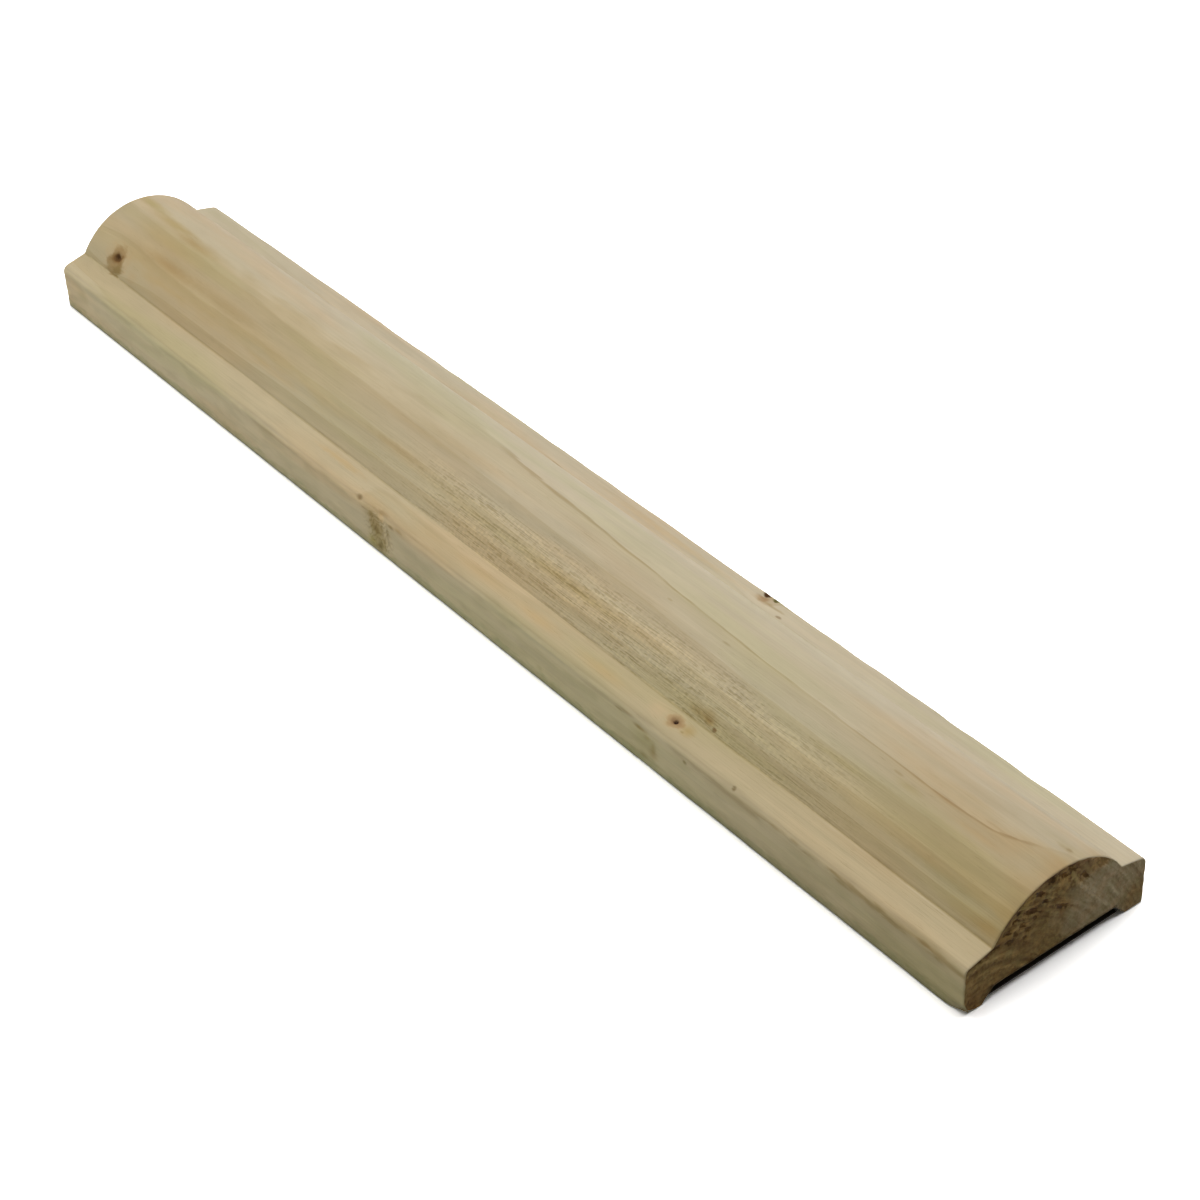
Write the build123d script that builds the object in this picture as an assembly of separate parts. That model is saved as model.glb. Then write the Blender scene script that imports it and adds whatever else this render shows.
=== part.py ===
from build123d import *
import os

# A moulded timber batten: one length of planed softwood with the section of a fence capping.
# A half-round bead stands between two flat shoulders that fall outwards to shed water, and the
# underside has a shallow recess with splayed sides, so that the batten bears on two narrow feet.
# Millimetres. X runs along the grain, Y across the width and Z up. The origin is the middle of
# the footprint, on the level of the feet.

# Stock
LENGTH = 425.0            # between the two square saw cuts
WIDTH = 60.0              # over both side edges

# Shoulders
EDGE_HEIGHT = 15.0        # side edge, up to where it would meet the shoulder if the corner were sharp
SHOULDER_WIDTH = 8.7      # flat strip on each side of the bead
SHOULDER_FALL = 2.0       # how much lower the shoulder is at the side edge than at the bead
SHOULDER_EASING = 2.2     # radius that softens the upper corner of the side edge

# Bead
BEAD_RISE = 12.0          # crown of the bead above the line where it leaves the shoulders

# Underside
RECESS_DEPTH = 4.0        # from the feet up to the flat roof of the recess
FOOT_WIDTH = 6.2          # flat strip under each side edge
RECESS_SPLAY = 3.8        # sideways run of each sloping wall of the recess
FOOT_EASING = 0.6         # radius that softens the lower corner of the side edge


def upper_outline():
    """Shoulder, bead and shoulder, from the front edge to the back edge, as one run of curves."""
    half_width = WIDTH / 2
    half_bead = half_width - SHOULDER_WIDTH
    root_height = EDGE_HEIGHT + SHOULDER_FALL
    front_shoulder = Line((-half_width, EDGE_HEIGHT), (-half_bead, root_height))
    bead = ThreePointArc(
        (-half_bead, root_height), (0, root_height + BEAD_RISE), (half_bead, root_height)
    )
    back_shoulder = Line((half_bead, root_height), (half_width, EDGE_HEIGHT))
    return front_shoulder + bead + back_shoulder


def lower_outline():
    """Side edges, feet and the splayed recess between them, back to where the upper outline starts."""
    half_width = WIDTH / 2
    half_mouth = half_width - FOOT_WIDTH
    half_roof = half_mouth - RECESS_SPLAY
    return Polyline(
        (half_width, EDGE_HEIGHT),
        (half_width, 0),
        (half_mouth, 0),
        (half_roof, RECESS_DEPTH),
        (-half_roof, RECESS_DEPTH),
        (-half_mouth, 0),
        (-half_width, 0),
        (-half_width, EDGE_HEIGHT),
    )


def corners_at(section, height):
    """The section's two outermost corners at that height."""
    return section.vertices().filter_by(
        lambda corner: abs(corner.Y - height) < 1e-6 and abs(abs(corner.X) - WIDTH / 2) < 1e-6
    )


def moulded_section():
    """The whole cross-section, drawn flat with its width along X and its height along Y."""
    section = make_face(upper_outline() + lower_outline())
    section = fillet(corners_at(section, EDGE_HEIGHT), SHOULDER_EASING)
    return fillet(corners_at(section, 0), FOOT_EASING)


def batten():
    """The section run along the grain, half its length to each side of the origin."""
    return extrude(Plane.YZ * moulded_section(), LENGTH / 2, both=True)


os.makedirs("parts", exist_ok=True)
export_step(batten(), "parts/batten.step")
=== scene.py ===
import math
import bpy
import numpy as np
from mathutils import Matrix, Vector
from mathutils.geometry import delaunay_2d_cdt


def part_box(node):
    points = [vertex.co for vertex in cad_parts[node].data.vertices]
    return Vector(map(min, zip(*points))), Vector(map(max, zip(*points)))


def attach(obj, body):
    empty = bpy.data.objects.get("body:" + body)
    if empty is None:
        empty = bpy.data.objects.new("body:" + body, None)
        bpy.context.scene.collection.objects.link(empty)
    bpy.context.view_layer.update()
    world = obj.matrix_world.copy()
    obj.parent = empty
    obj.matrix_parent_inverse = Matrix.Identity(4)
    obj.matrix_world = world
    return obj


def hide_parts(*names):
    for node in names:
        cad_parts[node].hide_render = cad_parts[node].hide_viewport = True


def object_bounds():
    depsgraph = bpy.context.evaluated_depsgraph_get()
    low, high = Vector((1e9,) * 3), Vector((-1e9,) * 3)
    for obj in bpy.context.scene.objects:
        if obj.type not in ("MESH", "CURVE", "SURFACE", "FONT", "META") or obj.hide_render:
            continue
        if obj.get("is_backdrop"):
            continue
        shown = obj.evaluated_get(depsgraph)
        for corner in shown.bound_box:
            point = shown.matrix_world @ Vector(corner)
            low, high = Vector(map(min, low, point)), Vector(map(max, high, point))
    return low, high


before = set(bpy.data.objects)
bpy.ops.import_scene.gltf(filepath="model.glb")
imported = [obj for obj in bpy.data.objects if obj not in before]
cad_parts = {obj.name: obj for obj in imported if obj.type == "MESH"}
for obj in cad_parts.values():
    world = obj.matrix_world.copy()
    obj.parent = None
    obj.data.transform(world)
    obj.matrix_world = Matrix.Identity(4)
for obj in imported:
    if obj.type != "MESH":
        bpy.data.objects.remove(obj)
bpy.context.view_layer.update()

# The section of the batten. One length of softwood goes once through a moulding planer, whose
# cutters leave a half-round bead between two sloping shoulders and a splayed recess underneath.
# It is drawn in millimetres, Y across and Z up, clockwise as seen from the near sawn end.
low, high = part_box("batten")
half_length = high.x * 1000
half_width = high.y * 1000
crown_height = high.z * 1000
edge_height = 15.0
shoulder_width = 8.7
shoulder_fall = 2.0
shoulder_easing = 2.2
foot_width = 6.2
foot_easing = 0.6
recess_depth = 4.0
recess_splay = 3.8

half_bead = half_width - shoulder_width
root_height = edge_height + shoulder_fall
bead_rise = crown_height - root_height
bead_radius = (half_bead**2 + bead_rise**2) / (2 * bead_rise)
bead_centre = crown_height - bead_radius
bead_turn = math.asin(half_bead / bead_radius)
half_mouth = half_width - foot_width
half_roof = half_mouth - recess_splay
shoulder_slope = math.atan2(shoulder_fall, shoulder_width)
easing_tangent = shoulder_easing * math.tan((math.pi / 2 - shoulder_slope) / 2)
edge_top = edge_height - easing_tangent
shoulder_start = (
    -half_width + easing_tangent * math.cos(shoulder_slope),
    edge_height + easing_tangent * math.sin(shoulder_slope),
)


def straight(start, end, spacing):
    """Points along a straight, without its last one, and the outward normal at each."""
    count = max(1, round(math.dist(start, end) / spacing))
    share = (np.arange(count) / count)[:, None]
    points = (1 - share) * np.array(start) + share * np.array(end)
    across, up = np.subtract(end, start) / math.dist(start, end)
    return points, np.tile((-up, across), (count, 1))


def bend(centre, radius, first, last, spacing):
    """Points round an outward bend, without its last one, and the outward normal at each."""
    count = max(3, round(abs(last - first) * radius / spacing))
    turn = first + (last - first) * np.arange(count) / count
    normals = np.stack([np.cos(turn), np.sin(turn)], 1)
    return np.array(centre) + radius * normals, normals


# The front half, from the middle of the recess to the crown. The last number of each piece is how
# far apart its points are.
upright = math.pi / 2
front_half = [
    straight((0, recess_depth), (-half_roof, recess_depth), 1.2),
    straight((-half_roof, recess_depth), (-half_mouth, 0), 0.9),
    straight((-half_mouth, 0), (-half_width + foot_easing, 0), 1.1),
    bend((-half_width + foot_easing, foot_easing), foot_easing, 3 * upright, 2 * upright, 0.3),
    straight((-half_width, foot_easing), (-half_width, edge_top), 0.62),
    bend(
        (-half_width + shoulder_easing, edge_top),
        shoulder_easing,
        2 * upright,
        upright + shoulder_slope,
        0.45,
    ),
    straight(shoulder_start, (-half_bead, root_height), 0.55),
    bend((0, bead_centre), bead_radius, upright + bead_turn, upright, 0.46),
]
front_points = np.vstack([points for points, normals in front_half])
front_normals = np.vstack([normals for points, normals in front_half])
to_back = np.array((-1, 1))
outline = np.vstack([front_points, [(0, crown_height)], (front_points * to_back)[:0:-1]])
outward = np.vstack([front_normals, [(0, 1)], (front_normals * to_back)[:0:-1]])
girth = np.cumsum(np.linalg.norm(outline - np.roll(outline, 1, axis=0), axis=1))
girth -= girth[0]

# Distances round the section are counted from the front foot's outer corner, over the top, as
# if its corners were sharp. The eased arris is a little shorter than the corner that it replaces.
shoulder_length = math.hypot(shoulder_width, shoulder_fall)
bead_start = edge_height + shoulder_length
bead_end = bead_start + 2 * bead_turn * bead_radius
eased = np.linspace(0, 1, 7)
arris_turn = 2 * upright - eased * (upright - shoulder_slope)
edge_walk = np.stack([
    np.append(0, edge_top + eased * 2 * easing_tangent),
    np.append(-half_width, -half_width + shoulder_easing * (1 + np.cos(arris_turn))),
    np.append(0, edge_top + shoulder_easing * np.sin(arris_turn)),
])
turns = np.linspace(-bead_turn, bead_turn, 61)
bead_walk = np.stack([
    bead_start + (turns + bead_turn) * bead_radius,
    bead_radius * np.sin(turns),
    bead_centre + bead_radius * np.cos(turns),
])
there_and_back = np.array([[bead_start + bead_end], [0], [0]])
mirrored = np.array([[-1], [-1], [1]])
back_walk = there_and_back + mirrored * edge_walk[:, ::-1]
walk_distance, walk_across, walk_height = np.hstack([edge_walk, bead_walk, back_walk])
walk_steps = np.hypot(np.diff(walk_across), np.diff(walk_height))
walk_length = np.append(0, np.cumsum(walk_steps))


def on_surface(along, distance):
    """The point of the surface so far along the grain and so far round the section."""
    across = np.interp(distance, walk_distance, walk_across)
    height = np.interp(distance, walk_distance, walk_height)
    return along, float(across), float(height)


def tilt_at(distance):
    """How steeply the surface climbs toward the back, so far round the section."""
    start, end = on_surface(0, distance - 0.2), on_surface(0, distance + 0.2)
    return math.atan2(end[2] - start[2], end[1] - start[1])


# How the tree grew through the batten. The pith lay below its front edge, so the rings cross the
# sawn ends as wide arcs and come out on the faces as long lines, which drift because the log was
# not quite straight. Four small branches left knots, and the grain swells round them.
ring_width = 4.05
first_ring = 0.155
pith_across = -24.4
pith_height = -20.0
drift_slope = 0.0246
drift_turn = 150.0
drift_softness = 20.0
swirl_place = (216.0, 6.0)
swirl_size = (20.0, 11.0)
swirl_pull = 4.0
knot_push = 0.7
knots = {
    "root_knot": ((-194.8, 29.3), (14.0, 7.0)),
    "edge_knot": ((-29.5, 8.0), (12.0, 7.0)),
    "back_knot": ((76.5, 80.5), (8.0, 5.0)),
    "pin_knot": ((100.6, 20.4), (7.0, 4.0)),
}


def drift(along):
    """How far across the pith has moved at that place along the grain."""
    turned = drift_turn - along
    return ((turned * turned + drift_softness**2) ** 0.5 + turned) * drift_slope


# The surface as it left the planer and the saw. Late wood stands a little proud, fibres are torn
# in short lengths low on the front of the bead, knots are pitted and the arrises are soft. Every
# depth is measured inwards from the true section, so nothing stands outside it.
random = np.random.default_rng(5572)


def uneven(along, across, length, width):
    """Smooth random numbers from 0 to 1, in patches of that length and width."""
    rows = int(2 * half_length / length) + 4
    columns = int(girth[-1] / width) + 4
    lattice = random.random((rows, columns))
    u = np.clip((along + half_length) / length, 0, rows - 2.001)
    v = np.clip(across / width, 0, columns - 2.001)
    i, j = u.astype(int), v.astype(int)
    a, b = u - i, v - j
    a, b = a * a * (3 - 2 * a), b * b * (3 - 2 * b)
    near = lattice[i, j] * (1 - b) + lattice[i, j + 1] * b
    far = lattice[i + 1, j] * (1 - b) + lattice[i + 1, j + 1] * b
    return near * (1 - a) + far * a


def rise(value, start, end):
    """0 before start, 1 after end, and a smooth change between."""
    share = np.clip((value - start) / (end - start), 0, 1)
    return share * share * (3 - 2 * share)


# Sections stand close together at the knots and the ends, and further apart between them.
step_at_knots = 0.6
added_between = 1.1
fine = np.linspace(-half_length, half_length, 17001)
to_knot = np.min([np.abs(fine - place[0]) for place, swell in knots.values()], axis=0)
to_end = half_length - np.abs(fine)
step_length = step_at_knots + added_between * rise(np.minimum(to_knot - 5, to_end - 1), 0, 5)
steps = np.concatenate([[0], np.cumsum(np.diff(fine) / step_length[:-1])])
stations = np.interp(np.linspace(0, steps[-1], int(steps[-1]) + 1), steps, fine)
arris = 0.4
arris_steps = np.array([0.0, 0.04, 0.13, 0.26])
stations = np.concatenate([
    -half_length + arris_steps,
    stations[(stations > -half_length + arris) & (stations < half_length - arris)],
    half_length - arris_steps[::-1],
])
along = stations[:, None] * np.ones(len(girth))
around = girth * np.ones((len(stations), 1))
across = outline[:, 0] * np.ones((len(stations), 1))
height = outline[:, 1] * np.ones((len(stations), 1))
front_foot = girth[np.argmin(np.abs(outline - (-half_width, foot_easing)).sum(1))] - foot_easing
past_foot = around - front_foot
distance = np.interp(past_foot, walk_length, walk_distance)
distance += np.minimum(past_foot, 0) + np.maximum(past_foot - walk_length[-1], 0)

ring_radius = np.hypot(across - pith_across - drift(along), height - pith_height)
off_along = (along - swirl_place[0]) / swirl_size[0]
off_across = (across - swirl_place[1]) / swirl_size[1]
ring_radius -= swirl_pull * np.exp(-(off_along**2) - off_across**2)
growth = (ring_radius / ring_width - first_ring) % 1
late_growth = rise(growth, 0.5, 0.95) * (1 - rise(growth, 0.97, 1.0))

depth = 0.035 * (1 - late_growth)
depth += 0.03 * uneven(along, around, 30, 7) + 0.02 * uneven(along, around, 8, 1.2)
torn = rise(along, -62, 5) * (1 - rise(along, 112, 175))
torn *= rise(distance, 23.8, 24.8) * (1 - rise(distance, 35, 41))
torn *= 0.3 + 0.7 * rise(uneven(along, around, 22, 4), 0.25, 0.6)
depth += torn * 0.1 * rise(uneven(along, around, 5.0, 1.0), 0.4, 0.75)
depth += torn * 0.07 * uneven(along, around, 3.2, 0.62)
side = (1 - rise(distance, 13.2, 15.4)) * rise(distance, 0.8, 2.5)
depth += side * (0.05 * uneven(along, around, 11, 3) + 0.02 * uneven(along, around, 3.4, 1.2))


def sunk(place, size, deepest, sharpness=1.0):
    """A hollow in the surface, as deep as it says at its middle."""
    reach = ((along - place[0]) / size[0]) ** 2 + ((distance - place[1]) / size[1]) ** 2
    return deepest * np.exp(-(reach**sharpness))


# The hollows of the root, pin, back and edge knots, two nicks in the front arris and a bruise.
depth += sunk((-195.2, 29.4), (1.8, 1.2), 1.1)
depth += sunk((-194.5, 27.6), (5.0, 3.4), 0.16) * (0.4 + uneven(along, around, 1.6, 0.9))
depth += sunk((100.8, 20.5), (0.95, 0.7), 0.9)
depth += sunk((74.6, 81.6), (1.4, 0.7), 0.9) + sunk((78.4, 82.1), (1.1, 0.6), 0.7)
depth += sunk((75.6, 85.2), (1.4, 1.2), 0.5)
depth += sunk((-29.0, 6.0), (5.0, 5.5), 0.22, 2.0) * uneven(along, around, 1.9, 1.6)
depth += sunk((-38.0, 15.3), (1.3, 0.35), 0.3) + sunk((129.0, 15.7), (0.7, 0.35), 0.3)
depth += sunk((96.0, 8.0), (6.0, 4.5), 0.14, 2.0) * uneven(along, around, 2.2, 1.2)
# The upper arrises and those of the feet are worn in places.
for corner in (edge_height, bead_end + shoulder_length):
    over_corner = np.exp(-(((distance - corner) / 1.4) ** 2))
    depth += over_corner * 0.2 * rise(uneven(along, around, 9, 40), 0.3, 0.95)
for corner in (0.2, bead_end + shoulder_length + edge_height - 0.2):
    over_corner = np.exp(-(((distance - corner) / 0.8) ** 2))
    depth += over_corner * 0.07 * rise(uneven(along, around, 9, 40), 0.45, 0.95)
# The front foot is knocked round where it meets the near end.
knock_depth = 1.6
knock_length = 3.2
knock_width = 2.5
from_knock = ((half_length - along) / knock_length) ** 2 + (distance / knock_width) ** 2
depth += knock_depth * np.exp(-from_knock)

# The long faces curl over into the saw cuts.
to_cut = half_length - np.abs(along)
reach = arris * (0.7 + 0.6 * uneven(along, around, 60, 1.8))
within = np.clip(1 - to_cut / reach, 0, 1)
depth += 0.8 * reach * (1 - np.sqrt(1 - within**2))
worn_across = across - outward[:, 0] * depth
worn_height = height - outward[:, 1] * depth
positions = np.stack([along, worn_across, worn_height], axis=-1)

# The saw cut across each end. Coarse teeth left a rough face and tore fibres out in deep pits near
# the crown, along the rings. Each pit has its place across and up, its half length and half width.
pit_depth = 0.55
sound_rim = 0.9
face_spacing = 0.5
pits = (
    (-2.5, 27.1, 1.3, 1.1), (1.4, 25.7, 2.2, 0.8), (3.6, 27.2, 0.9, 0.6), (-9.0, 20.6, 3.2, 0.7),
    (-11.4, 17.9, 1.1, 0.8), (-13.6, 16.6, 1.0, 0.7), (-9.7, 15.2, 1.0, 0.7),
    (1.8, 16.0, 2.4, 0.5), (-10.3, 13.2, 1.0, 0.6), (-15.9, 14.9, 1.0, 0.6), (8.6, 21.6, 1.6, 0.8),
    (-6.0, 24.5, 1.2, 0.7), (-20.0, 15.5, 2.2, 0.5), (-25.5, 14.6, 2.2, 0.5),
    (-7.0, 18.0, 0.8, 0.6), (-16.5, 18.0, 1.0, 0.6), (-14.0, 20.5, 0.9, 0.6),
    (-4.2, 21.2, 1.0, 0.5), (-12.8, 22.4, 1.2, 0.7), (4.3, 25.9, 1.5, 0.6),
)


def in_pit(y, z, pit):
    """How far off a pit's middle a place is, along the ring and across it, in its half sizes."""
    at_y, at_z, half_long, half_wide = pit
    lean = math.atan2(at_z - pith_height, at_y - pith_across) - math.pi / 2
    dy, dz = y - at_y, z - at_z
    long_way = (dy * math.cos(lean) + dz * math.sin(lean)) / half_long
    short_way = (dz * math.cos(lean) - dy * math.sin(lean)) / half_wide
    return long_way, short_way


def saw_cut(points, side):
    """How far the sawn face lies in from the true end, at points of the section."""
    y, z = points[:, 0], points[:, 1]
    to_pith = y - pith_across - drift(side * half_length)
    radius = np.hypot(to_pith, z - pith_height)
    arc = np.arctan2(z - pith_height, to_pith) * radius
    ring = (radius / ring_width - first_ring) % 1
    depth = 0.05 * rise(ring, 0.1, 0.7) + 0.2 * uneven(arc, radius, 4.5, 1.4)
    depth += 0.14 * uneven(arc, radius, 9.0, 3.6) + 0.05 * uneven(y + half_length, z + 30, 1.0, 1.0)
    for pit in pits:
        long_way, short_way = in_pit(y * side, z, pit)
        depth += pit_depth * np.exp(-(long_way**2) - short_way**2)
    return depth


def filled(loop, spacing):
    """Triangles over the area inside a closed loop, with the loop's own corners first."""
    rows = [
        (y + spacing / 2 * (k % 2), z)
        for k, z in enumerate(np.arange(0, crown_height, spacing * math.sqrt(3) / 2))
        for y in np.arange(-half_width, half_width, spacing)
    ]
    grid = np.array(rows)
    nearest = np.min(np.linalg.norm(grid[:, None] - loop[None], axis=2), axis=1)
    start, end = loop, np.roll(loop, -1, axis=0)
    crosses = (start[:, 1] > grid[:, 1:]) != (end[:, 1] > grid[:, 1:])
    climb = np.where(crosses, end[:, 1] - start[:, 1], 1.0)
    meets = start[:, 0] + (grid[:, 1:] - start[:, 1]) / climb * (end[:, 0] - start[:, 0])
    inside = (crosses & (grid[:, :1] < meets)).sum(1) % 2 == 1
    grid = grid[inside & (nearest > 0.45 * spacing)]
    edges = [(i, (i + 1) % len(loop)) for i in range(len(loop))]
    corners = [Vector(point) for point in np.vstack([loop, grid])]
    points, _, triangles, _, _, _ = delaunay_2d_cdt(corners, edges, [], 1, 1e-6)
    points = np.array([tuple(point) for point in points])
    if np.abs(points[: len(loop)] - loop).max() > 1e-4:
        raise ValueError("the sawn face lost a corner of its edge")
    return points, triangles


count = len(girth)
vertices = [positions.reshape(-1, 3)]
faces = []
for i in range(len(stations) - 1):
    for j in range(count):
        k = (j + 1) % count
        faces.append((i * count + j, i * count + k, (i + 1) * count + k, (i + 1) * count + j))
planed_faces = len(faces)
used = len(stations) * count
for station, side in ((0, -1), (len(stations) - 1, 1)):
    points, triangles = filled(positions[station, :, 1:], face_spacing)
    inner = points[count:]
    cut = saw_cut(inner, side)
    to_rim = np.min(np.linalg.norm(inner[:, None] - points[None, :count], axis=2), axis=1)
    cut = cut * rise(to_rim, 0, sound_rim)
    vertices.append(np.column_stack([side * (half_length - cut), inner]))
    for triangle in triangles:
        a, b, c = (points[v] for v in triangle)
        corners = [station * count + v if v < count else used + v - count for v in triangle]
        turned = (b[0] - a[0]) * (c[1] - a[1]) - (b[1] - a[1]) * (c[0] - a[0])
        faces.append(tuple(corners if turned * side > 0 else corners[::-1]))
    used += len(inner)

mesh = bpy.data.meshes.new("timber")
mesh.from_pydata((np.vstack(vertices) / 1000).tolist(), [], faces)
mesh.update()
timber = bpy.data.objects.new("timber", mesh)
bpy.context.scene.collection.objects.link(timber)
mesh.polygons.foreach_set("use_smooth", np.ones(len(faces), bool))
mesh.polygons.foreach_set("material_index", (np.arange(len(faces)) >= planed_faces).astype(int))
mesh.set_sharp_from_angle(angle=math.radians(40))
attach(timber, "root")
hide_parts("batten")


# The planed faces: pale softwood with a faint green cast from the preservative. It has soft rings,
# long fibre streaks, torn dashes low on the bead, knots, specks and a dirty lower edge. Light and
# shade are painted in too: the side edges lighter, shade toward the near end, along the foot, in
# the bead's root and in the recess, highlights on the torn fibres and a cool sheen on the back
# half.
class Value:
    """A number that changes over a surface. Arithmetic on it adds the Math nodes for it."""

    def __init__(self, nodes, socket):
        self.nodes = nodes
        self.socket = socket

    def maths(self, operation, first, second=0.0):
        """What a Math node makes of two numbers."""
        return self.nodes.node("Math", {"operation": operation}, {0: first, 1: second})

    def __add__(self, other):
        return self.maths("ADD", self, other)

    def __sub__(self, other):
        return self.maths("SUBTRACT", self, other)

    def __rsub__(self, other):
        return self.maths("SUBTRACT", other, self)

    def __mul__(self, other):
        return self.maths("MULTIPLY", self, other)

    def __truediv__(self, other):
        return self.maths("DIVIDE", self, other)

    def __pow__(self, other):
        return self.maths("POWER", self, other)

    def __mod__(self, other):
        return self.maths("FLOORED_MODULO", self, other)

    def __abs__(self):
        return self.maths("ABSOLUTE", self)

    __radd__ = __add__
    __rmul__ = __mul__

    def fade(self, start, end):
        """0 at start, 1 at end and a smooth change between, whichever of them is larger."""
        ends = {"Value": self, "From Min": start, "From Max": end}
        return self.nodes.node("MapRange", {"interpolation_type": "SMOOTHSTEP"}, ends)

    def hump(self):
        """1 where the value is 0, falling off smoothly to nothing at about 2."""
        return self.maths("EXPONENT", 0 - self * self)

    def wave(self):
        """Up and down between 0 and 1, as the value grows by a turn."""
        return self.maths("SINE", self) * 0.5 + 0.5


class Nodes:
    """The nodes of one material or of the room, added as the values are worked out."""

    def __init__(self, tree):
        self.tree = tree

    def node(self, kind, settings=(), values=(), output=0):
        """Adds a node, sets it up, feeds its sockets with values or links, and gives one output."""
        node = self.tree.nodes.new("ShaderNode" + kind)
        for name, setting in dict(settings).items():
            setattr(node, name, setting)
        for name, value in dict(values).items():
            self.feed(node.inputs[name], value)
        return Value(self, node.outputs[output])

    def feed(self, socket, value):
        """Links a worked-out value to a socket, or sets a plain one on it."""
        if isinstance(value, Value):
            self.tree.links.new(value.socket, socket)
        else:
            socket.default_value = value


class Finish(Nodes):
    """A material worked out from the place on a piece, in millimetres."""

    def __init__(self, name):
        self.material = bpy.data.materials.new(name)
        self.material.use_nodes = True
        super().__init__(self.material.node_tree)
        self.shader = self.tree.nodes["Principled BSDF"]
        place = self.node("TexCoord", output="Object")
        self.place = self.node("VectorMath", {"operation": "SCALE"}, {0: place, "Scale": 1000.0})
        self.along, self.across, self.height = self.parts(self.place)

    def parts(self, vector):
        """The three parts of a vector."""
        split = self.node("SeparateXYZ", values={0: vector}).socket.node
        return [Value(self, socket) for socket in split.outputs]

    def moved(self, place, operation, amount):
        """A place after one step of vector arithmetic."""
        return self.node("VectorMath", {"operation": operation}, {0: place, 1: amount})

    def off(self, middle, size):
        """Distance from a place, counted as 1 on an ellipsoid of that half size."""
        away = self.moved(self.moved(self.place, "SUBTRACT", middle), "DIVIDE", size)
        return self.node("VectorMath", {"operation": "LENGTH"}, {0: away}, "Value")

    # A Mix node takes its share in socket 0 and its colours in 6 and 7, and gives output 2.
    def tinted(self, colour, share, tint):
        """A colour, multiplied by a tint over a share of the surface."""
        settings = {"data_type": "RGBA", "blend_type": "MULTIPLY"}
        return self.node("Mix", settings, {0: share, 6: colour, 7: (*tint, 1.0)}, 2)

    def blended(self, share, first, second):
        """The first colour where share is 0 and the second where it is 1."""
        return self.node("Mix", {"data_type": "RGBA"}, {0: share, 6: first, 7: second}, 2)

    def lit(self, colour, strength):
        """A colour made lighter or darker."""
        return self.node("VectorMath", {"operation": "SCALE"}, {0: colour, "Scale": strength})


class Wood(Finish):
    """A finish that follows the grain, which swells round the knots."""

    def __init__(self, name):
        super().__init__(name)
        self.grain = self.place
        for knot_place, swell in knots.values():
            middle = on_surface(*knot_place)
            away = self.moved(self.place, "SUBTRACT", middle)
            away = self.moved(away, "MULTIPLY", (0.0, 1.0, 1.0))
            push = self.off(middle, (swell[0], swell[1], swell[1])).hump() * knot_push
            pushed = self.node("VectorMath", {"operation": "SCALE"}, {0: away, "Scale": push})
            self.grain = self.moved(self.grain, "SUBTRACT", pushed)

    def patches(self, length, width, seed, detail=2.0):
        """Noise from 0 to 1 in patches so long along the grain and so wide across it."""
        shrunk = self.moved(self.grain, "MULTIPLY", (1 / length, 1 / width, 1 / width))
        shifted = self.moved(shrunk, "ADD", (seed * 7.31, seed * 3.17, seed * 5.73))
        return self.node("TexNoise", (), {"Vector": shifted, "Scale": 1.0, "Detail": detail})

    def growth(self):
        """Distance from the pith, the way round it, and how far through its ring the wood grew."""
        along, across, height = self.parts(self.grain)
        y = across - pith_across - drift(along)
        z = height - pith_height
        swirl = self.off((*swirl_place, crown_height), (*swirl_size, 6.0)).hump() * swirl_pull
        wander = (self.patches(45.0, 9.0, 3) - 0.5) * 0.9
        wander = wander + (self.patches(12.0, 1.0, 14) - 0.5) * 0.3
        radius = (y * y + z * z) ** 0.5 - swirl + wander
        turn = self.node("Math", {"operation": "ARCTAN2"}, {0: z, 1: y})
        return radius, turn, (radius / ring_width - first_ring) % 1.0


def shade(red, green, blue):
    """A colour read as on a paint chart, 0 to 255, as linear light."""
    light = [c / 255 for c in (red, green, blue)]
    return tuple(c / 12.92 if c <= 0.04045 else ((c + 0.055) / 1.055) ** 2.4 for c in light)


planed = Wood("planed_softwood")
along, across, height = planed.along, planed.across, planed.height
radius, _, ring = planed.growth()
past_root = half_bead + 0.4
short_of_root = half_bead - 0.1
on_bead = abs(across).fade(past_root, short_of_root)
on_shoulder = across.fade(-short_of_root, -past_root)
on_shoulder = on_shoulder * across.fade(-half_width + 0.1, -half_width + 1.0)
on_side = abs(across).fade(half_width - 0.9, half_width - 0.1)
front = across.fade(2.0, -2.0)
back_flank = across.fade(3.0, 12.0)
early_wood = (*shade(200, 186, 156), 1.0)
late_wood = (*shade(178, 159, 119), 1.0)
to_late = ring.fade(0.1, 0.95) * ring.fade(1.0, 0.94)
ring_line = ring.fade(0.9, 0.965) * ring.fade(1.0, 0.98)
ring_share = (1 - on_side * 0.6) * (1 - back_flank * 0.6) * 0.32
colour = planed.blended(to_late * ring_share, early_wood, late_wood)

broad = planed.patches(170.0, 5.5, 1)
streak = planed.patches(48.0, 1.9, 2)
cloud = planed.patches(16.0, 3.6, 18)
fibre = planed.patches(24.0, 0.4, 4, 3.0)
calm = 1 - along.fade(-100.0, -180.0) * 0.7
strength = (broad - 0.5) * 0.16 + (streak - 0.5) * (0.15 - on_side * 0.12) * calm
strength = 1 + strength + (fibre - 0.5) * 0.2 * calm + (cloud - 0.5) * 0.16
colour = planed.lit(colour, strength)
warm = planed.patches(95.0, 13.0, 5)
colour = planed.tinted(colour, warm.fade(0.48, 0.68), (1.03, 0.965, 0.91))
colour = planed.tinted(colour, warm.fade(0.5, 0.32), (0.955, 0.985, 0.915))
crown_line = along.fade(-20.0, -8.0) * radius.fade(51.4, 52.4) * radius.fade(55.6, 54.0)
crown_line = crown_line * (1 - ((along - 128.0) / 18.0).hump() * 0.75) * along.fade(213.0, 200.0)
line_share = ring_line * (0.08 + crown_line * 0.72) * cloud.fade(0.25, 0.55)
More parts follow.
